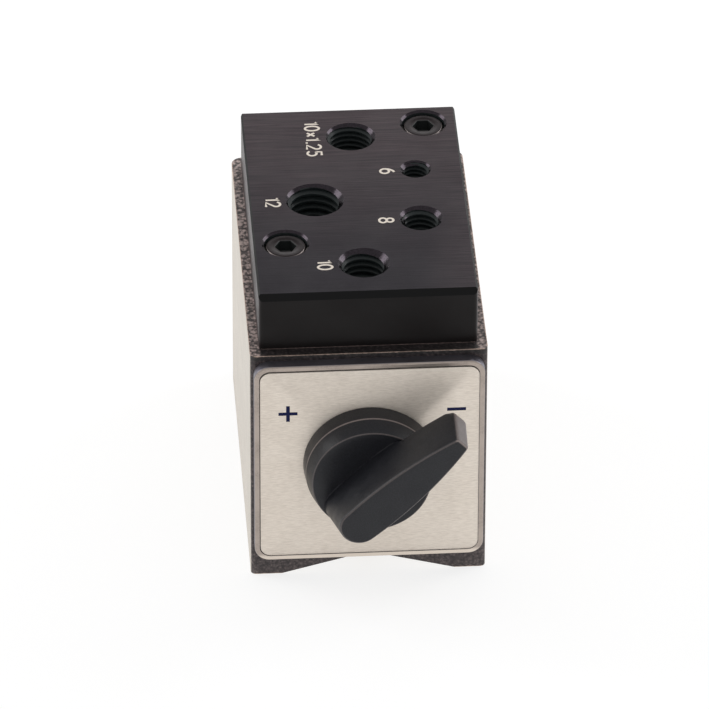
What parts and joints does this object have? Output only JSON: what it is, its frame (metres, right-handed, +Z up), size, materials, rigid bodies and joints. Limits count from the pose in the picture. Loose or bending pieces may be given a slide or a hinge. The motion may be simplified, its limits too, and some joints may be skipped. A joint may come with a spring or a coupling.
{
  "type": "magnetic base",
  "caption": "Switchable magnetic base: two pole blocks with a V groove underneath, a top plate with threaded holes and a lever knob on the front that turns the magnet a quarter turn.",
  "frame": {"origin": "bottom centre of the whole object, on the surface that the feet stand on", "axes": "+X across the base to the right seen from the knob, +Y back from the knob's side, +Z up"},
  "size_m": [0.05, 0.0992, 0.0698],
  "materials": {
    "pole_steel": "ground sides, textured dark paint on the other faces",
    "separator_brass": "ground",
    "blackened_steel": "black oxide, satin",
    "screw_black": "black oxide",
    "screw_zinc": "zinc plated",
    "cover_paint": "smooth grey",
    "label_aluminium": "brushed",
    "bush_bronze": "sintered",
    "knob_plastic": "moulded, satin",
    "spindle_steel": "turned",
    "rotor_brass": "turned",
    "rotor_brass_rivet": "turned",
    "ferrite": "ground ferrite",
    "shoe_steel": "turned"
  },
  "bodies": {
    "base": {"left_pole_block": "pole_steel", "right_pole_block": "pole_steel", "top_separator": "separator_brass", "bottom_separator": "separator_brass", "top_plate": "blackened_steel", "front_cap_screw": "screw_black", "rear_cap_screw": "screw_black", "front_cover": "cover_paint", "front_cover_screws": "screw_zinc", "label_plate": "label_aluminium", "front_bush": "bush_bronze", "rear_cover": "cover_paint", "rear_cover_screws": "screw_black", "rear_bush": "bush_bronze"},
    "rotor": {"knob": "knob_plastic", "knob_grub_screw": "screw_black", "spindle": "spindle_steel", "rotor_front_cap": "rotor_brass", "rotor_rear_cap": "rotor_brass", "rear_journal": "spindle_steel", "magnet_block": "ferrite", "upper_pole_shoe": "shoe_steel", "lower_pole_shoe": "shoe_steel", "rotor_rivets": "rotor_brass_rivet", "stop_pin": "spindle_steel"}
  },
  "joints": [
    {"name": "knob_turn", "type": "hinge", "parent": "base", "child": "rotor", "pos_m": [0, -0.02775, 0.0302], "axis": [0, -1, 0], "range_deg": [0, 90]}
  ]
}
